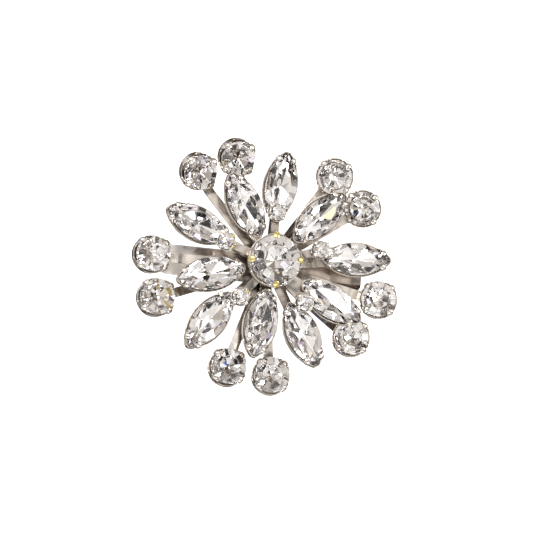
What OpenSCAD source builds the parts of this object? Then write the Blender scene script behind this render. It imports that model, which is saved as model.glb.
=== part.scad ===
// Layered rhinestone flower on a sprung hair clip.
// +X runs along the clip towards its pinch end, -X towards its jaw tips, +Z out of the flower.
// The origin is on the underside of the lower lever, below the middle of the flower.

/* [Flower] */
// Repeats of the petal pattern round the flower
petals = 5; // [5:1:5]
// Radius of the ring of outer round stones
outer_ring_r = 26; // [25.5:0.5:27]
// Angle from a pair's middle line to each of its two stones
pair_half_angle = 11; // [10.5:0.5:12]
// Radius to the middle of the navettes that lie between two pairs
long_navette_r = 18.8; // [18.5:0.1:19.5]
// Radius to the middle of the navettes that lie in line with a pair
short_navette_r = 15; // [14.8:0.1:15.5]
// Radius to the small round stones
small_ring_r = 11.5; // [11:0.1:12]

/* [Stones] */
// Diameter of an outer round stone
outer_stone_d = 8; // [7.6:0.1:8]
// Length of a navette stone
navette_l = 15; // [14.5:0.1:15]
// Width of a navette stone
navette_w = 7.2; // [6.8:0.1:7.2]
// Diameter of a small round stone
small_stone_d = 3.6; // [3.4:0.1:3.8]
// Diameter of the centre stone
centre_stone_d = 11; // [10.5:0.1:11.4]

/* [Metalwork] */
// Thickness of a cup's wall
cup_wall = 0.35; // [0.3:0.05:0.4]
// Width of the arms of the two large stars
arm_w = 2.2; // [1.8:0.1:2.4]
// Thickness of the star sheets
sheet_t = 0.6; // [0.5:0.05:0.7]

/* [Clip] */
// Length of the lower lever in front of the origin, to the jaw tip
jaw_l = 25; // [24:0.5:27]
// Length of both levers behind the origin, to the pinch end
tail_l = 22.5; // [21:0.5:23]
// Width of the lower lever's blade
blade_w = 7; // [6.5:0.1:7.4]
// Thickness of the levers
lever_t = 0.7; // [0.6:0.05:0.8]
// Diameter of the hinge pin
pin_d = 1.6; // [1.4:0.1:1.8]

/* [Hidden] */
$fn = 48;
stone_sides = 16;
stone_count = 2 * petals;
step = 360 / petals;
pair_angle = 48;
gap_angle = pair_angle + step / 2;
small_angle = gap_angle + 7;

// Heights of the three sheets, measured at the underside of each hub
saddle_z = 5.3;
outer_z = saddle_z + lever_t;
navette_z = 9.6;
top_z = 14.5;
centre_z = top_z + sheet_t;

// How each arm was bent by hand: degrees aside, lean towards the middle, and millimetres out
outer_aside = [-1, -1, 3, 2, 0, -1, 0, 1, -1, 1];
outer_lean = [18, 16, 24, 26, 12, 10, 10, 8, 9, 10];
outer_out = [0, 0, 0, 1, 1, 1, -0.5, -0.5, -0.5, 1];
navette_aside = [0, 4, 0, 2, 4, 0, 1, -1, -4, -4];
navette_yaw = [0, -3, 2, 1, 0, 8, -3, -1, -2, -6];
navette_lean = [6, 8, 8, 6, 4, 4, 4, 4, 8, 6];
navette_out = [0.5, -1, -0.5, 0, -1, 0.5, -1, -1, 1.5, 1];
small_aside = [0, 0, -3, 5, 0];
small_out = [-0.5, 0, -0.5, 0, -0.5];

clear = 0.05;
cup_floor = 0.5;
hub_r = 4;
rivet_d = 2.4;
outer_cup_h = 3.2;
navette_cup_h = 3;
small_cup_h = 1.9;
centre_cup_h = 4.4;
small_arm_w = 1.8;
prong_t = 0.35;

pin_x = 11;
pin_z = 3;
ear_r = 1.9;
ear_t = 0.6;
upper_ear_y = 2.6;
lower_ear_y = 3.5;
running_gap = 0.05;
prong_w = 1.5;
prong_y = 2.3;
prong_l = 16;
tail_w = 7.2;
tail_flat = 4.4;
tail_drop = 0.7;
tail_corner = 1.2;
blade_corner = 3.1;
centre_cup_turn = -41;
spring_wire_d = 0.7;
spring_coil_d = 3.2;
spring_turns = 4;

function outer_angle(i) = pair_angle + step * floor((i - 1) / 2)
    + pair_half_angle * (i % 2 == 1 ? -1 : 1) + outer_aside[i - 1];
function outer_r(i) = outer_ring_r + outer_out[i - 1];
function is_long(i) = i % 2 == 0;
function navette_angle(i) = pair_angle + step / 2 * (i - 1) + navette_aside[i - 1];
function navette_r(i) = (is_long(i) ? long_navette_r : short_navette_r) + navette_out[i - 1];
function small_angle_of(i) = small_angle + step * (i - 1) + small_aside[i - 1];
function small_r(i) = small_ring_r + small_out[i - 1];

// A cup sits this far along its arm past the bend that gives it its lean
outer_bend_l = 6.5;
navette_bend_l = 9;
bend_r = 4;
function cup_z(z, lean, bend_l) = z + bend_l * sin(lean) + sheet_t / cos(lean);

// Outline of a navette: two arcs that meet in points, as a ring of points
function arc_r(a, b) = (a * a + b * b) / (2 * b);
function navette_point(a, b, u) =
    let (r = arc_r(a, b), span = asin(a / r), t = (u < 0.5 ? 1 - 4 * u : 4 * u - 3) * span)
    [r * sin(t), (r * cos(t) - r + b) * (u < 0.5 ? 1 : -1)];
function round_point(r, u) = [r * cos(360 * u), r * sin(360 * u)];
function ring_point(a, b, u) = a == b ? round_point(a, u) : navette_point(a, b, u);
function ring(a, b, z, n) = [for (k = [0 : n - 1]) let (p = ring_point(a, b, k / n)) [p[0], p[1], z]];

// A cut stone with its girdle at z = 0: flat table, crown facets, thin girdle, pointed pavilion.
// a and b are half of its length and width; a round stone has a == b.
module cut_stone(a, b, crown_h, pavilion_h, girdle_h, table_part) {
    n = stone_sides;
    m = n / 2;
    points = concat(
        ring(a * table_part, b * table_part, crown_h, m),
        ring(a, b, girdle_h / 2, n),
        ring(a, b, -girdle_h / 2, n),
        [[0, 0, -pavilion_h]]
    );
    table = [[for (k = [m - 1 : -1 : 0]) k]];
    stars = [for (k = [0 : m - 1]) [k, (k + 1) % m, m + (2 * k + 1) % n]];
    kites = [for (k = [0 : m - 1]) each [
        [k, m + (2 * k + 1) % n, m + 2 * k],
        [k, m + 2 * k, m + (2 * k + n - 1) % n]
    ]];
    girdle = [for (k = [0 : n - 1]) each [
        [m + k, m + (k + 1) % n, m + n + k],
        [m + (k + 1) % n, m + n + (k + 1) % n, m + n + k]
    ]];
    pavilion = [for (k = [0 : n - 1]) [m + n + k, m + n + (k + 1) % n, m + 2 * n]];
    polyhedron(points, concat(table, stars, kites, girdle, pavilion), convexity = 2);
}

module round_stone(d) {
    color([0.93, 0.95, 0.97]) cut_stone(d / 2, d / 2, d * 0.17, d * 0.26, d * 0.03, 0.55);
}

module navette_stone(l, w) {
    color([0.93, 0.95, 0.97]) cut_stone(l / 2, w / 2, w * 0.2, w * 0.27, w * 0.03, 0.55);
}

// A claw that stands at the rim and bends in over the crown
module claw(r, rim_z, length) {
    translate([r, 0, rim_z])
        rotate([0, -48, 0])
            translate([-prong_t, -0.45, 0])
                cube([prong_t, 0.9, length]);
}

module round_cup(d, h, claws) {
    r_in = d / 2 + clear;
    r_out = r_in + cup_wall;
    color([0.8, 0.76, 0.72]) {
        difference() {
            cylinder(r = r_out, h = h);
            translate([0, 0, cup_floor]) cylinder(r = r_in, h = h);
        }
        for (k = [0 : claws - 1])
            rotate([0, 0, 45 + k * 360 / claws])
                claw(r_out, h - 0.1, 1.1);
    }
}

module lens(a, b, h) {
    r = arc_r(a, b);
    linear_extrude(h) intersection() {
        translate([0, b - r]) circle(r, $fn = 160);
        translate([0, r - b]) circle(r, $fn = 160);
    }
}

module navette_cup(l, w, h) {
    a = l / 2 + 0.15;
    b = w / 2 + clear;
    color([0.8, 0.76, 0.72]) {
        difference() {
            lens(a + 2 * cup_wall, b + cup_wall, h);
            translate([0, 0, cup_floor]) lens(a, b, h);
        }
        for (end = [0, 180], side = [-1, 1])
            rotate([0, 0, end])
                translate([a * 0.62, side * (b * 0.6 + cup_wall), h])
                    rotate([0, 0, side * 68])
                        claw(0, 0, 0.9);
    }
}

// Puts a cup or stone at the end of an arm, leaning in towards the middle
module at_cup(angle, r, z, lean, yaw = 0) {
    rotate([0, 0, angle])
        translate([r, 0, z])
            rotate([0, -lean, 0])
                rotate([0, 0, yaw])
                    children();
}

// The bent stretch of a strip, as points at a distance t inside the bend
function bend_points(bend_at, lean, t) = [
    for (k = [0 : 4]) let (turn = lean * k / 4)
        [bend_at - bend_r * tan(lean / 2) + (bend_r - t) * sin(turn), bend_r - (bend_r - t) * cos(turn)]
];

// A flat strip that runs out level from the hub, then bends up under its cup and ends past its middle
module arm(angle, r, lean, bend_l, w, past) {
    bend_at = r - bend_l * cos(lean);
    along = bend_l + past;
    end = [bend_at + along * cos(lean), along * sin(lean)];
    top = sheet_t * [-sin(lean), cos(lean)];
    over = bend_points(bend_at, lean, sheet_t);
    rotate([90, 0, angle])
        translate([0, 0, -w / 2])
            linear_extrude(w)
                polygon(concat(
                    [[0, 0]],
                    bend_points(bend_at, lean, 0),
                    [end, end + top],
                    [for (k = [4 : -1 : 0]) over[k]],
                    [[0, sheet_t]]
                ));
}

module rivet_hole(collar_h) {
    translate([0, 0, -collar_h - 1]) cylinder(d = rivet_d + 2 * clear, h = collar_h + sheet_t + 2);
}

module outer_star() {
    color([0.62, 0.56, 0.5])
        translate([0, 0, outer_z])
            difference() {
                union() {
                    cylinder(r = hub_r, h = sheet_t);
                    for (i = [1 : stone_count])
                        arm(outer_angle(i), outer_r(i), outer_lean[i - 1], outer_bend_l, arm_w, 2);
                }
                rivet_hole(0);
            }
}

module navette_star() {
    collar_h = navette_z - outer_z - sheet_t;
    color([0.62, 0.56, 0.5])
        translate([0, 0, navette_z])
            difference() {
                union() {
                    cylinder(r = hub_r, h = sheet_t);
                    translate([0, 0, -collar_h]) cylinder(r = 2.6, h = collar_h + 0.1);
                    for (i = [1 : stone_count])
                        arm(navette_angle(i), navette_r(i), navette_lean[i - 1], navette_bend_l, arm_w, 4);
                }
                rivet_hole(collar_h);
            }
}

module top_star() {
    collar_h = top_z - navette_z - sheet_t;
    color([0.62, 0.56, 0.5])
        translate([0, 0, top_z])
            difference() {
                union() {
                    cylinder(r = hub_r, h = sheet_t);
                    translate([0, 0, -collar_h]) cylinder(r = 2.6, h = collar_h + 0.1);
                    for (i = [1 : petals])
                        arm(small_angle_of(i), small_r(i), 0, 2, small_arm_w, 1.4);
                }
                rivet_hole(collar_h);
            }
}

// The rivet that clamps the three sheets and the centre cup to the upper lever
module hub_rivet() {
    head_h = 0.5;
    color([0.62, 0.56, 0.5]) {
        translate([0, 0, saddle_z - head_h]) cylinder(d1 = 3.4, d2 = 4, h = head_h);
        translate([0, 0, saddle_z - 0.1]) cylinder(d = rivet_d, h = centre_z + cup_floor - saddle_z + 0.1);
        translate([0, 0, centre_z + cup_floor]) cylinder(d1 = 3.6, d2 = 3, h = head_h);
    }
}

module at_outer(i, yaw = 0) {
    lean = outer_lean[i - 1];
    at_cup(outer_angle(i), outer_r(i), cup_z(outer_z, lean, outer_bend_l), lean, yaw) children();
}

module at_navette(i) {
    lean = navette_lean[i - 1];
    at_cup(navette_angle(i), navette_r(i), cup_z(navette_z, lean, navette_bend_l), lean, navette_yaw[i - 1])
        children();
}

module at_small(i) {
    at_cup(small_angle_of(i), small_r(i), centre_z, 0) children();
}

module outer_stone(i) {
    at_outer(i, 22.5) translate([0, 0, outer_cup_h - 0.35]) round_stone(outer_stone_d);
}

module outer_cup(i) {
    at_outer(i) round_cup(outer_stone_d, outer_cup_h, 4);
}

module navette_stone_at(i) {
    at_navette(i) translate([0, 0, navette_cup_h - 0.35]) navette_stone(navette_l, navette_w);
}

module navette_cup_at(i) {
    at_navette(i) navette_cup(navette_l, navette_w, navette_cup_h);
}

module small_stone(i) {
    at_small(i) translate([0, 0, small_cup_h - 0.25]) round_stone(small_stone_d);
}

module small_cup(i) {
    at_small(i) round_cup(small_stone_d, small_cup_h, 4);
}

module centre_stone() {
    translate([0, 0, centre_z + centre_cup_h - 0.4]) round_stone(centre_stone_d);
}

module centre_cup() {
    translate([0, 0, centre_z]) difference() {
        rotate([0, 0, centre_cup_turn]) round_cup(centre_stone_d, centre_cup_h, 4);
        rivet_hole(0);
    }
}

// A side wall with the pin's bore, between two heights
module ear(y, z_low, z_high, bore_d) {
    translate([pin_x, y + ear_t / 2, pin_z]) rotate([90, 0, 0])
        linear_extrude(ear_t) difference() {
            union() {
                circle(ear_r);
                translate([-ear_r, z_low - pin_z]) square([2 * ear_r, z_high - z_low]);
            }
            circle(d = bore_d);
        }
}

// A lever's side profile given as [x, underside] points, extruded to its width
module bent_strip(path, w) {
    over = [for (k = [len(path) - 1 : -1 : 0]) [path[k][0], path[k][1] + lever_t]];
    translate([0, w / 2, 0]) rotate([90, 0, 0]) linear_extrude(w) polygon(concat(path, over));
}

// A plan outline whose end, at x, has round corners; toward is 1 for the pinch end and -1 for the jaw end
module rounded_end(x, w, toward, corner) {
    linear_extrude(20) scale([toward, 1]) union() {
        for (side = [-1, 1])
            translate([toward * x - corner, side * (w / 2 - corner)]) circle(corner);
        translate([toward * x - corner - 40, -w / 2]) square([40, w]);
        translate([toward * x - corner - 1, corner - w / 2]) square([corner + 1, w - 2 * corner]);
    }
}

// The two fingers of the upper jaw from above: they spread, then run side by side to round tips
module fork_outline() {
    tip_x = -prong_l + prong_w / 2;
    for (side = [-1, 1]) scale([1, side]) {
        translate([tip_x, prong_y]) circle(d = prong_w);
        polygon([
            [-5, 1.8], [-8, 2.1], [-10.5, prong_y + prong_w / 2], [tip_x, prong_y + prong_w / 2],
            [tip_x, prong_y - prong_w / 2], [-10.9, prong_y - prong_w / 2], [-8.3, 0.6], [-5, 0.3]
        ]);
    }
}

// Cross-section of the pinch tail: a flat middle with both edges bent down
module tail_section() {
    polygon([
        [-tail_w / 2, -tail_drop], [-tail_flat / 2, 0], [tail_flat / 2, 0], [tail_w / 2, -tail_drop],
        [tail_w / 2, lever_t - tail_drop], [tail_flat / 2, lever_t],
        [-tail_flat / 2, lever_t], [-tail_w / 2, lever_t - tail_drop]
    ]);
}

module clip_upper_lever() {
    tail_x = pin_x + 2.4;
    tip_z = lever_t + 0.35;
    color([0.72, 0.68, 0.63]) difference() {
        union() {
            bent_strip([[-8.2, saddle_z], [tail_x + 0.2, saddle_z]], 2 * upper_ear_y - ear_t);
            intersection() {
                translate([tail_x, 0, saddle_z]) rotate([90, 0, 90])
                    linear_extrude(tail_l - tail_x) tail_section();
                rounded_end(tail_l, tail_w, 1, tail_corner);
            }
            for (side = [-1, 1])
                ear(side * (upper_ear_y - ear_t / 2), pin_z, saddle_z + 0.1, pin_d + 0.02);
            intersection() {
                bent_strip([[-prong_l, tip_z], [-12, tip_z], [-8.4, saddle_z], [-6, saddle_z]], 10);
                linear_extrude(20) fork_outline();
            }
        }
        translate([0, 0, saddle_z - 1]) cylinder(d = rivet_d + 2 * clear, h = lever_t + 2);
    }
}

module clip_lower_lever() {
    bore_d = pin_d + 2 * running_gap;
    lower_tail_w = 2 * lower_ear_y + ear_t;
    color([0.72, 0.68, 0.63]) {
        intersection() {
            translate([-jaw_l, -blade_w / 2, 0]) cube([jaw_l + pin_x, blade_w, lever_t]);
            rounded_end(-jaw_l, blade_w, -1, blade_corner);
        }
        intersection() {
            translate([pin_x - ear_r - 2, -lower_tail_w / 2, 0])
                cube([tail_l - pin_x + ear_r + 2, lower_tail_w, lever_t]);
            rounded_end(tail_l, lower_tail_w, 1, tail_corner);
        }
        for (side = [-1, 1])
            ear(side * lower_ear_y, 0.1, pin_z, bore_d);
    }
}

module clip_pin() {
    pin_l = 2 * lower_ear_y + ear_t + 0.8;
    color([0.7, 0.66, 0.62])
        translate([pin_x, pin_l / 2, pin_z]) rotate([90, 0, 0]) cylinder(d = pin_d, h = pin_l);
}

// The coil round the pin as one sleeve, with a leg towards each tail
module clip_spring() {
    leg_l = 4.5;
    coil_l = spring_turns * spring_wire_d;
    leg_r = (spring_coil_d - spring_wire_d) / 2;
    color([0.66, 0.66, 0.67]) {
        translate([pin_x, coil_l / 2, pin_z]) rotate([90, 0, 0]) difference() {
            cylinder(d = spring_coil_d, h = coil_l);
            translate([0, 0, -1]) cylinder(d = spring_coil_d - 2 * spring_wire_d, h = coil_l + 2);
        }
        for (side = [-1, 1])
            translate([pin_x, side * (coil_l - spring_wire_d) / 2, pin_z + side * leg_r])
                rotate([0, 90, 0]) cylinder(d = spring_wire_d - 0.02, h = leg_l);
    }
}

for (i = [1 : stone_count]) {
    outer_stone(i);
    outer_cup(i);
    navette_stone_at(i);
    navette_cup_at(i);
}
for (i = [1 : petals]) {
    small_stone(i);
    small_cup(i);
}
centre_stone();
centre_cup();
outer_star();
navette_star();
top_star();
hub_rivet();
clip_upper_lever();
clip_lower_lever();
clip_pin();
clip_spring();
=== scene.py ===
"""A layered rhinestone flower on a sprung hair clip, dressed for rendering around its CAD frame."""
import itertools
import math
import random

import bmesh
import bpy
import numpy as np
from mathutils import Matrix, Vector


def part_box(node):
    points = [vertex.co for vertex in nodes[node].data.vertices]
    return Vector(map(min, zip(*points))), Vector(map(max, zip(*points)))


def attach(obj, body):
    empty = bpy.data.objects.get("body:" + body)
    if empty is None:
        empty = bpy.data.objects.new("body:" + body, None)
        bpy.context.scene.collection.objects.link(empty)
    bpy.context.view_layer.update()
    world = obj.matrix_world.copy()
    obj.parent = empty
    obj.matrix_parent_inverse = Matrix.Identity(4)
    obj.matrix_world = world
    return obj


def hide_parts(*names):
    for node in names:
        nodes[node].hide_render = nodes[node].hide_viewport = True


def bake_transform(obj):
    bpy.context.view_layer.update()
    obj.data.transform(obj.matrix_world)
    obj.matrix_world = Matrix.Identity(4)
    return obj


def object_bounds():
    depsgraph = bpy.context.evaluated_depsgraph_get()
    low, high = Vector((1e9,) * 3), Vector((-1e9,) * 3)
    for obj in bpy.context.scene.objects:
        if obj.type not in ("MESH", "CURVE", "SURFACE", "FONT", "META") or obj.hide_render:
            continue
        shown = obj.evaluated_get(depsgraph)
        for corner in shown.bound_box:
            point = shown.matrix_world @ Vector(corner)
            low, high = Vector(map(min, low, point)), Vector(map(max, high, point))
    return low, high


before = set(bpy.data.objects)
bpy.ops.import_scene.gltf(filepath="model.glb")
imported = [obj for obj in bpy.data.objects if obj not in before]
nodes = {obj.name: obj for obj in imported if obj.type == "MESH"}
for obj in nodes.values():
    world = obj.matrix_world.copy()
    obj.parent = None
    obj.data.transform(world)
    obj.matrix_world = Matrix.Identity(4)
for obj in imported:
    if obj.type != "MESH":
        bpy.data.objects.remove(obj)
cad_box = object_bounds()

# The frame is in metres. Stones, cups and the spring are drawn in millimetres, then scaled.
MM = 0.001
IN_MM = Matrix.Scale(MM, 4)
UP = Vector((0, 0, 1))

# The body that the stones and their cups ride on.
FLOWER = "flower"

# Directions from the piece towards the camera and towards the brighter half of the studio.
CAMERA_SIDE = (-0.171, -0.110, 0.979)
LIGHT_SIDE = (-0.6, 0.7, 0.4)

# How far the floor lies under the closed clip, whose blade opens 11 mm downwards.
FLOOR_DROP = 16 * MM

# Claws with yellow tips, by the stone's family and number. All four on the centre stone have them too.
GILT_CLAWS = {("small", 2): (0, 3), ("small", 3): (0,)}

random.seed(5)


# ---------------------------------------------------------------- camera, world and lights

def add_camera():
    """Looks down on the flower from a little to the left of and below its axis, about 350 mm away."""
    lean_right, lean_up, roll = (math.radians(degrees) for degrees in (9.9, 6.4, -4.8))
    turn = Matrix.Rotation(-lean_up, 3, "X")
    turn = turn @ Matrix.Rotation(lean_right, 3, "Y")
    turn = turn @ Matrix.Rotation(roll, 3, "Z")
    to_world = turn.transposed()
    target = Vector((0, 0, 12)) * MM
    place = target + to_world @ Vector((0, 0, 351 * MM))
    data = bpy.data.cameras.new("camera")
    data.lens = 105.1
    data.sensor_width = 36
    data.clip_start = 0.01
    data.shift_x = -0.0075
    data.shift_y = -0.0062
    camera = bpy.data.objects.new("camera", data)
    camera.matrix_world = Matrix.Translation(place) @ to_world.to_4x4()
    bpy.context.scene.collection.objects.link(camera)
    bpy.context.scene.camera = camera


def add_world():
    """White to the camera. Stones and metal reflect grey cards, darker below and towards the camera."""
    world = bpy.data.worlds.new("studio")
    bpy.context.scene.world = world
    world.use_nodes = True
    tree = world.node_tree
    tree.nodes.clear()
    make = tree.nodes.new
    link = tree.links.new
    direction = make("ShaderNodeTexCoord").outputs["Generated"]

    def cells(scale, randomness):
        """A random number for each card, on a sphere divided into cards."""
        node = make("ShaderNodeTexVoronoi")
        node.feature = "F1"
        node.distance = "CHEBYCHEV"
        node.inputs["Scale"].default_value = scale
        node.inputs["Randomness"].default_value = randomness
        link(direction, node.inputs["Vector"])
        split = make("ShaderNodeSeparateColor")
        link(node.outputs["Color"], split.inputs["Color"])
        return split.outputs["Red"]

    def stepped(fac, stops):
        """A colour for each range of a number, with sharp steps between them."""
        node = make("ShaderNodeValToRGB")
        node.color_ramp.interpolation = "CONSTANT"
        ramp = node.color_ramp.elements
        while len(ramp) < len(stops):
            ramp.new(0.5)
        for element, (position, colour) in zip(ramp, stops):
            element.position = position
            element.color = (*colour, 1)
        link(fac, node.inputs["Fac"])
        return node.outputs["Color"]

    def along(axis, bounds, effect):
        """A change of tone that grows as a direction nears an axis."""
        nearness = make("ShaderNodeVectorMath")
        nearness.operation = "DOT_PRODUCT"
        nearness.inputs[1].default_value = axis
        link(direction, nearness.inputs[0])
        change = make("ShaderNodeMapRange")
        for socket, value in zip(("From Min", "From Max", "To Min", "To Max"), (*bounds, *effect)):
            change.inputs[socket].default_value = value
        link(nearness.outputs["Value"], change.inputs["Value"])
        return change.outputs["Result"]

    tone = cells(3.4, 0.9)
    changes = [
        along(CAMERA_SIDE, (0.84, 0.99), (0.0, -0.25)),
        along(LIGHT_SIDE, (-0.8, 0.8), (-0.12, 0.12)),
        along((0, 0, -1), (-0.1, 0.5), (0.0, -0.35)),
    ]
    for change in changes:
        total = make("ShaderNodeMath")
        total.operation = "ADD"
        link(tone, total.inputs[0])
        link(change, total.inputs[1])
        tone = total.outputs["Value"]
    greys = stepped(tone, [
        (0.0, (0.012, 0.011, 0.01)), (0.18, (0.09, 0.078, 0.068)), (0.26, (0.29, 0.25, 0.21)),
        (0.33, (0.56, 0.50, 0.44)), (0.43, (0.82, 0.77, 0.71)), (0.60, (1.03, 0.99, 0.94)),
        (0.82, (1.22, 1.21, 1.19)),
    ])
    # Blue, yellow and violet sparks in the stones, from a few very small cards.
    glints = stepped(cells(15, 1.0), [
        (0.0, (0, 0, 0)), (0.965, (0.1, 0.35, 1.3)), (0.978, (1.3, 0.9, 0.15)), (0.99, (0.7, 0.35, 1.0)),
    ])
    both = make("ShaderNodeMix")
    both.data_type = "RGBA"
    both.blend_type = "ADD"
    both.inputs["Factor"].default_value = 0.55
    link(greys, both.inputs["A"])
    link(glints, both.inputs["B"])
    studio = make("ShaderNodeBackground")
    link(both.outputs["Result"], studio.inputs["Color"])
    white = make("ShaderNodeBackground")
    white.inputs["Color"].default_value = (1, 1, 1, 1)
    path = make("ShaderNodeLightPath")
    mix = make("ShaderNodeMixShader")
    link(path.outputs["Is Camera Ray"], mix.inputs["Fac"])
    link(studio.outputs["Background"], mix.inputs[1])
    link(white.outputs["Background"], mix.inputs[2])
    out = make("ShaderNodeOutputWorld")
    link(mix.outputs["Shader"], out.inputs["Surface"])


def add_softbox(name, place, size, power, colour=(1, 1, 1)):
    """A rectangular lamp that faces the flower and stays out of the camera's view."""
    data = bpy.data.lights.new(name, "AREA")
    data.shape = "RECTANGLE"
    data.size, data.size_y = size
    data.energy = power
    data.color = colour
    light = bpy.data.objects.new(name, data)
    light.location = place
    light.rotation_euler = (-Vector(place)).to_track_quat("-Z", "Y").to_euler()
    light.visible_camera = False
    bpy.context.scene.collection.objects.link(light)


def add_lights():
    add_softbox("key", (-0.32, 0.28, 0.45), (0.24, 0.2), 1.8)
    add_softbox("fill", (0.45, 0.12, 0.3), (0.16, 0.22), 0.9, (1, 0.97, 0.93))
    add_softbox("front", (-0.05, -0.5, 0.3), (0.26, 0.14), 0.9)


def add_floor(material):
    """A pale floor, low enough for the blade to open above it. The stones and metal don't reflect it."""
    half = 3.0
    z = cad_box[0][2] - FLOOR_DROP
    mesh = bpy.data.meshes.new("floor")
    corners = [(-half, -half, z), (half, -half, z), (half, half, z), (-half, half, z)]
    mesh.from_pydata(corners, [], [(0, 1, 2, 3)])
    mesh.materials.append(material)
    floor = bpy.data.objects.new("floor", mesh)
    bpy.context.scene.collection.objects.link(floor)
    for ray in ("diffuse", "glossy", "transmission", "shadow"):
        setattr(floor, "visible_" + ray, False)


# ---------------------------------------------------------------- materials

class Shader:
    """A Principled material with its node tree at hand. Socket names have _ in place of a space."""

    def __init__(self, name, **sockets):
        self.material = bpy.data.materials.new(name)
        self.material.use_nodes = True
        self.tree = self.material.node_tree
        self.shader = self.tree.nodes["Principled BSDF"]
        for socket, value in sockets.items():
            self.shader.inputs[socket.replace("_", " ")].default_value = value

    def add(self, kind, **sockets):
        """A new node with some of its sockets set."""
        node = self.tree.nodes.new(kind)
        for socket, value in sockets.items():
            node.inputs[socket.replace("_", " ")].default_value = value
        return node

    def link(self, source, target):
        self.tree.links.new(source, target)

    def noise(self, scale, detail, stretch=None):
        """Noise on the object's own coordinates, finer along some axes if stretch says so."""
        coords = self.add("ShaderNodeTexCoord")
        noise = self.add("ShaderNodeTexNoise", Scale=scale, Detail=detail)
        vector = coords.outputs["Object"]
        if stretch:
            mapping = self.add("ShaderNodeMapping")
            mapping.inputs["Scale"].default_value = stretch
            self.link(vector, mapping.inputs["Vector"])
            vector = mapping.outputs["Vector"]
        self.link(vector, noise.inputs["Vector"])
        return noise.outputs["Fac"]

    def ramp(self, fac, stops):
        """Colours that blend from one (position, colour) stop to the next."""
        node = self.add("ShaderNodeValToRGB")
        elements = node.color_ramp.elements
        while len(elements) < len(stops):
            elements.new(0.5)
        for element, (position, colour) in zip(elements, stops):
            element.position = position
            element.color = (*colour, 1)
        self.link(fac, node.inputs["Fac"])
        return node.outputs["Color"]

    def bump(self, *layers):
        """Layers of (height, strength, distance), each on top of the one before it."""
        target = self.shader.inputs["Normal"]
        for height, strength, distance in reversed(layers):
            node = self.add("ShaderNodeBump", Strength=strength, Distance=distance)
            self.link(height, node.inputs["Height"])
            self.link(node.outputs["Normal"], target)
            target = node.inputs["Normal"]


def grey(value):
    return (value, value, value)


def plated_metal(name, light, dark, rough, grain, wave=0.0, reach=0.0035, gap_shade_colour=(0.10, 0.07, 0.05)):
    """Plated metal, mottled from light to dark, with waves and fine scratches in its surface.

    Where other parts lie closer than reach, in metres, its colour is darkened towards a given dark colour:
    painted shade between parts.
    """
    m = Shader(name, Metallic=1.0)
    tone = m.ramp(m.noise(160, 3), [(0.25, dark), (0.7, light)])
    # Painted shade: the colour darkens where other parts lie close, as if they shaded it.
    hollow = m.add("ShaderNodeAmbientOcclusion", Distance=reach)
    hollow.samples = 8
    painted_gap_shade = m.ramp(hollow.outputs["AO"], [(0.3, gap_shade_colour), (0.9, (1, 1, 1))])
    shaded_tone = m.add("ShaderNodeMix")
    shaded_tone.data_type = "RGBA"
    shaded_tone.blend_type = "MULTIPLY"
    shaded_tone.inputs["Factor"].default_value = 1.0
    m.link(tone, shaded_tone.inputs["A"])
    m.link(painted_gap_shade, shaded_tone.inputs["B"])
    m.link(shaded_tone.outputs["Result"], m.shader.inputs["Base Color"])
    gloss = m.ramp(m.noise(500, 4), [(0.3, grey(rough * 0.75)), (0.75, grey(rough * 1.35))])
    m.link(gloss, m.shader.inputs["Roughness"])
    m.bump((m.noise(230, 0.0), wave, 0.001), (m.noise(500, 6, (1, 20, 20)), grain, 0.00001))
    return m.material


def crystal_glass():
    """The stones' clear glass, very slightly warm."""
    glass = Shader("crystal_glass", Base_Color=(1, 0.992, 0.975, 1), Roughness=0.0, IOR=1.56,
                   Transmission_Weight=1.0)
    return glass.material


def mirror_foil():
    """The mirror coating on a stone's back, a little uneven."""
    foil = Shader("mirror_foil", Metallic=1.0)
    tone = foil.ramp(foil.noise(500, 3), [(0.35, (0.84, 0.83, 0.84)), (0.7, (0.97, 0.97, 0.98))])
    foil.link(tone, foil.shader.inputs["Base Color"])
    gloss = foil.ramp(foil.noise(1500, 2), [(0.3, grey(0.02)), (0.8, grey(0.07))])
    foil.link(gloss, foil.shader.inputs["Roughness"])
    return foil.material


def pale_floor():
    """A matt floor that glows a little, so that it stays as pale as the world behind it."""
    floor = Shader("pale_floor", Roughness=0.8, Specular_IOR_Level=0.0, Emission_Color=(1, 1, 1, 1),
                   Emission_Strength=0.8)
    tone = floor.ramp(floor.noise(60, 2), [(0.3, grey(0.86)), (0.7, grey(0.9))])
    floor.link(tone, floor.shader.inputs["Base Color"])
    return floor.material


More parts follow.
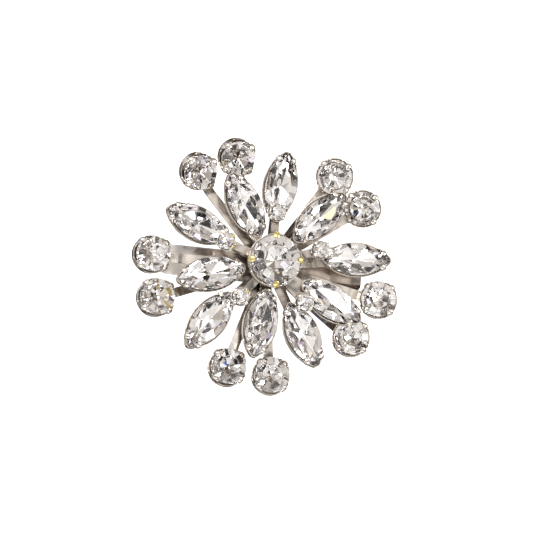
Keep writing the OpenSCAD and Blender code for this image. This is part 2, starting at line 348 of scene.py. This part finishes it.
def make_materials():
    """Every material, by a short name. The stars are plated a little differently. The two levers share one
    plating, painted darker on the upper lever as painted shade and lighter on the lower one as a painted
    highlight.
    """
    # Every plated metal here carries painted shade: it is darker where other parts lie close.
    return {
        "floor": pale_floor(),
        "glass": crystal_glass(),
        "foil": mirror_foil(),
        "cup": plated_metal("cup_plate", (0.90, 0.86, 0.81), (0.76, 0.70, 0.63), 0.24, 0.25,
                            reach=0.0012, gap_shade_colour=(0.24, 0.2, 0.16)),
        "sheet": plated_metal("sheet_plate", (0.98, 0.94, 0.89), (0.84, 0.77, 0.70), 0.2, 0.35,
                              wave=1.0, reach=0.005),
        # Painted shade: the upper lever gets a darker copy of the plating, as if it lay in shadow.
        "upper": plated_metal("upper_lever_shaded_plate", (0.82, 0.74, 0.67), (0.60, 0.52, 0.45), 0.2, 0.45,
                              wave=0.7),
        # Painted highlight: the lower lever gets a near-white copy of the same plating, as if it caught the
        # light.
        "lower": plated_metal("lower_lever_lit_plate", (1.0, 0.99, 0.97), (0.95, 0.93, 0.90), 0.34, 0.3,
                              wave=0.4, gap_shade_colour=(0.5, 0.44, 0.39)),
        "wire": plated_metal("spring_wire", (0.66, 0.66, 0.67), (0.5, 0.5, 0.52), 0.2, 0.4),
        "gold": plated_metal("gold_tip", (0.86, 0.76, 0.36), (0.70, 0.58, 0.22), 0.28, 0.2,
                             reach=0.0012),
    }


# ---------------------------------------------------------------- places from the frame

def corner_points(node):
    """A CAD node's corners, in millimetres."""
    return np.array([v.co for v in nodes[node].data.vertices], float) / MM


class Seat:
    """Where a cut stone sits, measured on its CAD node: girdle middle, axes and sizes in millimetres.

    The girdle is the stone's widest outline, with the crown above it and the pavilion below.
    """

    def __init__(self, node):
        points = np.unique(corner_points(node).round(4), axis=0)
        offsets = points - points.mean(0)
        axes = np.linalg.eigh(offsets.T @ offsets)[1].T
        # A stone is thinnest along its axis, which points up, and longest along the last one.
        normal = axes[0] if axes[0][2] > 0 else -axes[0]
        along = axes[2]
        reach = np.linalg.norm(offsets - np.outer(offsets @ normal, normal), axis=1)
        middle = points[reach > 0.97 * reach.max()].mean(0)
        side = np.cross(normal, along)
        local = (points - middle) @ np.array([along, side, normal]).T
        self.half_length = np.abs(local[:, 0]).max()
        self.half_width = np.abs(local[:, 1]).max()
        self.crown = local[:, 2].max()
        self.pavilion = -local[:, 2].min()
        # A navette's tips are rounded by this radius.
        self.tip = 0.25 * self.half_width
        self.round = self.half_length < 1.2 * self.half_width
        if self.round:
            self.half_width = self.half_length
        self.axes = (along, side, normal)
        self.heading = math.atan2(along[1], along[0])
        self.middle = middle

    def matrix(self, turn=0.0):
        """From the stone's own millimetres to the frame's metres, after a turn about the stone's axis."""
        m = Matrix.Identity(4)
        for row in range(3):
            for column, axis in enumerate(self.axes):
                m[row][column] = axis[row] * MM
            m[row][3] = self.middle[row] * MM
        return m @ Matrix.Rotation(turn, 4, "Z")

    def depth_of(self, node):
        """How far below the girdle a cup's bottom lies."""
        normal = np.array(self.axes[2])
        return -((corner_points(node) - self.middle) @ normal).min()


# ---------------------------------------------------------------- mesh helpers

def add_piece(name, bm, materials, body, node, matrix=IN_MM, sharp=None):
    """Turns a mesh drawn in millimetres into a piece that takes a CAD node's place.

    It rides on a body if one is given. Its faces are flat, or smooth where they meet at less than
    the sharp angle in degrees.
    """
    smooth = sharp is not None
    mesh = bpy.data.meshes.new(name)
    # This comes before the scaling, because on faces this small in metres it turns some the wrong way.
    bmesh.ops.recalc_face_normals(bm, faces=bm.faces)
    bm.transform(matrix)
    for face in bm.faces:
        face.smooth = smooth
    bm.to_mesh(mesh)
    bm.free()
    if smooth:
        mesh.set_sharp_from_angle(angle=math.radians(sharp))
    for material in materials:
        mesh.materials.append(material)
    piece = bpy.data.objects.new(name, mesh)
    bpy.context.scene.collection.objects.link(piece)
    if body:
        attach(piece, body)
    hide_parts(node)
    return piece


def loft(bm, rings):
    """Skins a list of rings of points, in order, with quads and closes both ends."""
    rows = [[bm.verts.new(point) for point in ring] for ring in rings]
    count = len(rings[0])
    for low, high in zip(rows, rows[1:]):
        for k in range(count):
            after = (k + 1) % count
            bm.faces.new((low[k], low[after], high[after], high[k]))
    bm.faces.new(rows[0][::-1])
    bm.faces.new(rows[-1])


def lens_radius(a, b):
    """The radius of the two arcs of a lens with half length a and half width b."""
    return (a * a + b * b) / (2 * b)


def lens_outline(a, b, count, tip):
    """A navette's outline, anticlockwise: two arcs, and round corners of radius tip at its two ends."""
    a, b = a - tip, b - tip
    r = lens_radius(a, b)
    span = math.asin(a / r)
    corner = math.pi / 2 - span
    arc_share, tip_share = 0.8, 0.2
    points = []
    for k in range(count // 2):
        part = k / (count // 2)
        if part < arc_share:
            t = span * (1 - 2 * part / arc_share)
            points.append(((r + tip) * math.sin(t), (r + tip) * math.cos(t) - r + b))
        else:
            t = -span - 2 * corner * (part - arc_share) / tip_share
            points.append((-a + tip * math.sin(t), tip * math.cos(t)))
    return points + [(-x, -y) for x, y in points]


def circle_outline(r, count):
    turns = [math.tau * k / count for k in range(count)]
    return [(r * math.cos(turn), r * math.sin(turn)) for turn in turns]


def outline(seat, grow, count):
    """The stone's outline grown outwards by some millimetres."""
    if seat.round:
        return circle_outline(seat.half_length + grow, count)
    return lens_outline(seat.half_length + grow, seat.half_width + grow, count, seat.tip + grow)


# ---------------------------------------------------------------- cut stones

def support(seat, angle):
    """How far the stone's outline reaches in a direction."""
    if seat.round:
        return seat.half_length
    a, b = seat.half_length - seat.tip, seat.half_width - seat.tip
    r = lens_radius(a, b)
    nx, ny = abs(math.cos(angle)), abs(math.sin(angle))
    on_arc = nx * r <= a
    return (r - (r - b) * ny if on_arc else a * nx) + seat.tip


def facet(seat, angle, low, high):
    """A cutting plane that faces a direction and runs through two (part of reach, height) points."""
    reach = support(seat, angle)
    r0, z0, r1, z1 = low[0] * reach, low[1], high[0] * reach, high[1]
    slope = Vector((z1 - z0, 0, r0 - r1)).normalized()
    if slope.x < 0:
        slope = -slope
    normal = Vector((slope.x * math.cos(angle), slope.x * math.sin(angle), slope.z))
    point = Vector((r0 * math.cos(angle), r0 * math.sin(angle), z0))
    return point, normal


def facet_planes(seat):
    """The cut's planes as (point, outward normal): table on top, girdle, crown and pavilion.

    Facets are listed by the way they face, in degrees. The table's size and the depth differ a little
    from stone to stone.
    """
    if seat.round:
        girdle = range(0, 360, 9)
        crown = range(0, 360, 45)
        pavilion = [22.5 + 45 * k for k in range(8)]
        table = random.uniform(0.5, 0.56)
        deep = seat.pavilion * random.uniform(0.9, 0.96)
    else:
        halves = (0, 180)
        girdle = [half + way for half in halves for way in (0, *range(30, 151, 6))]
        crown = [half + way for half in halves for way in (48, 72, 108, 132)]
        pavilion = [half + way for half in halves for way in (0, 60, 90, 120)]
        table = random.uniform(0.52, 0.6)
        deep = seat.pavilion * random.uniform(0.78, 0.88)
    edge = 0.02 * seat.half_width
    planes = [(UP * seat.crown, UP)]
    for way in girdle:
        angle = math.radians(way)
        out = Vector((math.cos(angle), math.sin(angle), 0))
        planes.append((out * support(seat, angle), out))
    planes += [facet(seat, math.radians(way), (1, edge), (table, seat.crown)) for way in crown]
    planes += [facet(seat, math.radians(way), (1, -edge), (0.0, -deep)) for way in pavilion]
    return planes


def corners_of(planes):
    """Every corner of the solid that a list of outward planes encloses."""
    close = 1e-5
    normals = np.array([normal for _, normal in planes], float)
    offsets = np.array([point.dot(normal) for point, normal in planes], float)
    triples = np.array(list(itertools.combinations(range(len(planes)), 3)))
    triples = triples[np.abs(np.linalg.det(normals[triples])) > close]
    points = np.linalg.solve(normals[triples], offsets[triples][..., None])[..., 0]
    inside = (points @ normals.T <= offsets + close).all(axis=1)
    return np.unique(points[inside].round(3), axis=0)


def cut_stone(seat, worn):
    """A cut stone, its edges broken by a width in mm. Faces below the girdle carry the foil."""
    bm = bmesh.new()
    for corner in corners_of(facet_planes(seat)):
        bm.verts.new(corner)
    hull = bmesh.ops.convex_hull(bm, input=bm.verts)
    bmesh.ops.delete(bm, geom=hull["geom_interior"] + hull["geom_unused"], context="VERTS")
    bmesh.ops.dissolve_limit(bm, angle_limit=math.radians(1.2), verts=bm.verts, edges=bm.edges)
    bmesh.ops.recalc_face_normals(bm, faces=bm.faces)
    ridge = math.radians(6)
    crisp = [e for e in bm.edges if e.calc_face_angle(0) > ridge and e.calc_length() > 4 * worn]
    bmesh.ops.bevel(bm, geom=crisp, offset=worn, segments=1, affect="EDGES", clamp_overlap=True)
    foil_top = -0.03 * seat.half_width
    for face in bm.faces:
        face.material_index = 1 if face.calc_center_median().z < foil_top else 0
    return bm


def add_stone(name, node, mats):
    """A cut stone in place of its CAD node, turned at random about its own axis if its shape allows."""
    seat = Seat(node)
    bm = cut_stone(seat, 0.06 if seat.half_width > 3 else 0.02)
    turn = random.uniform(0, math.tau) if seat.round else random.choice((0, math.pi))
    add_piece(name, bm, [mats["glass"], mats["foil"]], FLOWER, node, seat.matrix(turn))
    return seat


# ---------------------------------------------------------------- cups and claws

def cup_profile(depth, wall, rim):
    """The cup's section as (outwards, height) pairs, from its bottom up over the rim and down inside."""
    return [
        (wall - 0.30, -depth + 0.02), (wall - 0.12, -depth), (wall - 0.05, -depth + 0.12),
        (wall - 0.04, -0.5 * depth), (wall, -0.14 * depth), (wall + 0.05, rim - 0.16),
        (wall + 0.05, rim - 0.05), (wall - 0.02, rim + 0.03), (wall - 0.14, rim + 0.03),
        (wall - 0.22, rim - 0.04), (wall - 0.26, rim - 0.3), (wall - 0.28, -depth + 0.45),
    ]


def claw(bm, root, inward, size):
    """A claw that climbs the cup's wall, bends in over the crown and ends in a rounded tip."""
    # Each step is the claw's height and its distance outwards from the root, then its part of full width.
    steps = [
        (-1.5, 0.06, 0.75), (-0.6, 0.1, 0.95), (0.05, 0.14, 1.0), (0.36, 0.06, 1.05),
        (0.56, -0.16, 1.05), (0.74, -0.5, 0.95), (0.84, -0.86, 0.6),
    ]
    half_width, half_thick = 0.56 * size, 0.2 * size
    across = UP.cross(inward)
    rings = []
    for k, (rise, out, part) in enumerate(steps):
        before = steps[max(0, k - 1)]
        after = steps[min(len(steps) - 1, k + 1)]
        along = (UP * (after[0] - before[0]) - inward * (after[1] - before[1])).normalized()
        skin = along.cross(across)
        centre = root + (UP * rise - inward * out) * size
        ring = []
        for side in range(10):
            turn = math.tau * side / 10
            sideways = across * (math.cos(turn) * half_width * part)
            outwards = skin * (math.sin(turn) * half_thick * min(1, part + 0.1))
            ring.append(centre + sideways + outwards)
        rings.append(ring)
    loft(bm, rings)


def claw_places(seat, wall, first):
    """The four claws' roots on the rim, each with the direction that points in over the stone.

    A round stone's first claw is at an angle. A navette has a pair of claws near each tip.
    """
    if seat.round:
        for k in range(4):
            angle = first + math.pi / 2 * k
            out = Vector((math.cos(angle), math.sin(angle), 0))
            yield out * (seat.half_length + wall), -out
        return
    a, b = seat.half_length - seat.tip, seat.half_width - seat.tip
    r = lens_radius(a, b)
    t = math.asin(a * 0.84 / r)
    for end in (1, -1):
        for side in (1, -1):
            out = Vector((end * math.sin(t), side * math.cos(t), 0))
            point = Vector((end * r * math.sin(t), side * (r * math.cos(t) - r + b), 0))
            yield point + out * (seat.tip + wall), -out


def scallop(seat, x, y, roots):
    """How far the rim dips at a point, from 0 near a claw or a navette's tip to 1 between them."""
    if not seat.round and abs(x) > 0.72 * seat.half_length:
        return 0.0
    away = min((Vector((x, y, 0)) - root).length for root, _ in roots)
    part = min(1.0, max(0.0, (away / seat.half_width - 0.22) / 0.3))
    return part * part * (3 - 2 * part)


def add_cup(name, node, seat, mats, gilt, first):
    """A cup with its claws in place of its CAD node. The rim dips between the claws.

    gilt lists the claws with yellow tips, and first is the angle of a round cup's first claw.
    """
    depth = seat.depth_of(node)
    if seat.half_width > 2.5:
        wall, rim, count = 0.36, 0.32, 96
        size = 1.25 if seat.half_width > 5 else 1.0
    else:
        wall, rim, count = 0.3, 0.22, 64
        size = 0.62
    dip = 0.5 * depth
    level = 0.6 * depth
    roots = list(claw_places(seat, wall, first))
    bm = bmesh.new()
    rings = []
    for grow, z in cup_profile(depth, wall, rim):
        part = max(0.0, (z + level) / (rim + level))
        ring = outline(seat, grow, count)
        rings.append([(x, y, z - dip * part * scallop(seat, x, y, roots)) for x, y in ring])
    loft(bm, rings)
    for k, (root, inward) in enumerate(roots):
        first_face = len(bm.faces)
        claw(bm, root + UP * (rim - 0.3 * size), inward, size)
        bm.faces.ensure_lookup_table()
        for face in bm.faces[first_face:]:
            if k in gilt and face.calc_center_median().z > rim - 0.1:
                face.material_index = 1
    metals = [mats["cup"], mats["gold"]]
    add_piece(name, bm, metals, FLOWER, node, seat.matrix(), sharp=40)


# ---------------------------------------------------------------- sheets, clip and spring

def dress(node, material, bevel):
    """Gives a CAD node that stays broken edges, by a width in millimetres, and a plated surface."""
    piece = nodes[node]
    piece.data.materials.clear()
    piece.data.materials.append(material)
    modifier = piece.modifiers.new("edges", "BEVEL")
    modifier.width = bevel * MM
    modifier.segments = 3
    modifier.limit_method = "ANGLE"
    modifier.angle_limit = math.radians(35)
    modifier.harden_normals = True


def tail_heights(node, behind, within):
    """Heights of a lever's corners beyond an x and near enough to its middle line, in millimetres."""
    corners = [v.co / MM for v in nodes[node].data.vertices]
    return [corner.z for corner in corners if corner.x > behind and abs(corner.y) < within]


def add_spring(mats):
    """The torsion spring: a coil round the pin, one leg under the upper tail and one on the lower tail."""
    pin_low, pin_high = (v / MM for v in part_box("clip_pin"))
    low, high = (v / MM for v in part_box("clip_spring"))
    centre = (pin_low + pin_high) / 2
    wire_r = 0.33
    turns = 4
    steps = 24
    leg = 6.2
    coil_r = (high.z - low.z) / 2 - wire_r
    half = (high.y - low.y) / 2 - wire_r
    lower_top = max(tail_heights("clip_lower_lever", centre.x + leg, 4))
    upper_under = min(tail_heights("clip_upper_lever", centre.x + leg, 2.3))
    rise = (upper_under - wire_r - centre.z - coil_r) / leg
    fall = (centre.z - coil_r - lower_top - wire_r) / leg
    reaches = [leg * k / 6 for k in range(7)]
    path = [centre + Vector((d, -half, coil_r + d * rise)) for d in reversed(reaches)]
    whole = round((turns + 0.5) * steps)
    for k in range(1, whole):
        turn = math.pi / 2 + math.tau * k / steps
        y = half * (2 * k / whole - 1)
        path.append(centre + Vector((coil_r * math.cos(turn), y, coil_r * math.sin(turn))))
    path += [centre + Vector((d, half, -coil_r - d * fall)) for d in reaches]
    round_wire = [math.tau * side / 10 for side in range(10)]
    bm = bmesh.new()
    rings = []
    for k, point in enumerate(path):
        ahead = (path[min(len(path) - 1, k + 1)] - path[max(0, k - 1)]).normalized()
        side = ahead.cross(Vector((0, 1, 0))).normalized()
        other = ahead.cross(side)
        rings.append([point + (side * math.cos(t) + other * math.sin(t)) * wire_r for t in round_wire])
    loft(bm, rings)
    # It rides on no body, because the blend moves it with both.
    piece = add_piece("spring_wire", bm, [mats["wire"]], None, "clip_spring", sharp=35)
    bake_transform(piece)


# ---------------------------------------------------------------- the scene

def build():
    """Adds the studio, dresses the CAD nodes that stay and draws the pieces that replace the others."""
    mats = make_materials()
    add_camera()
    add_world()
    add_lights()
    add_floor(mats["floor"])
    families = [("outer", 10), ("navette", 10), ("small", 5)]
    for family, count in families:
        for i in range(1, count + 1):
            seat = add_stone(f"{family}_crystal_{i}", f"{family}_stone_{i}", mats)
            first = -seat.heading + math.pi / 4
            gilt = GILT_CLAWS.get((family, i), ())
            add_cup(f"{family}_setting_{i}", f"{family}_cup_{i}", seat, mats, gilt, first)
    seat = add_stone("centre_crystal", "centre_stone", mats)
    add_cup("centre_setting", "centre_cup", seat, mats, (0, 1, 2, 3), math.radians(4) - seat.heading)
    for node in ("outer_star", "navette_star", "top_star"):
        dress(node, mats["sheet"], 0.26)
    dress("hub_rivet", mats["sheet"], 0.1)
    dress("clip_upper_lever", mats["upper"], 0.26)
    dress("clip_lower_lever", mats["lower"], 0.2)
    dress("clip_pin", mats["upper"], 0.15)
    add_spring(mats)


build()

# The stones need many bounces, or their insides turn black.
scene = bpy.context.scene
scene.view_settings.view_transform = "Standard"
scene.view_settings.look = "None"
scene.cycles.use_denoising = True
scene.cycles.max_bounces = 24
scene.cycles.transmission_bounces = 20
scene.cycles.glossy_bounces = 12
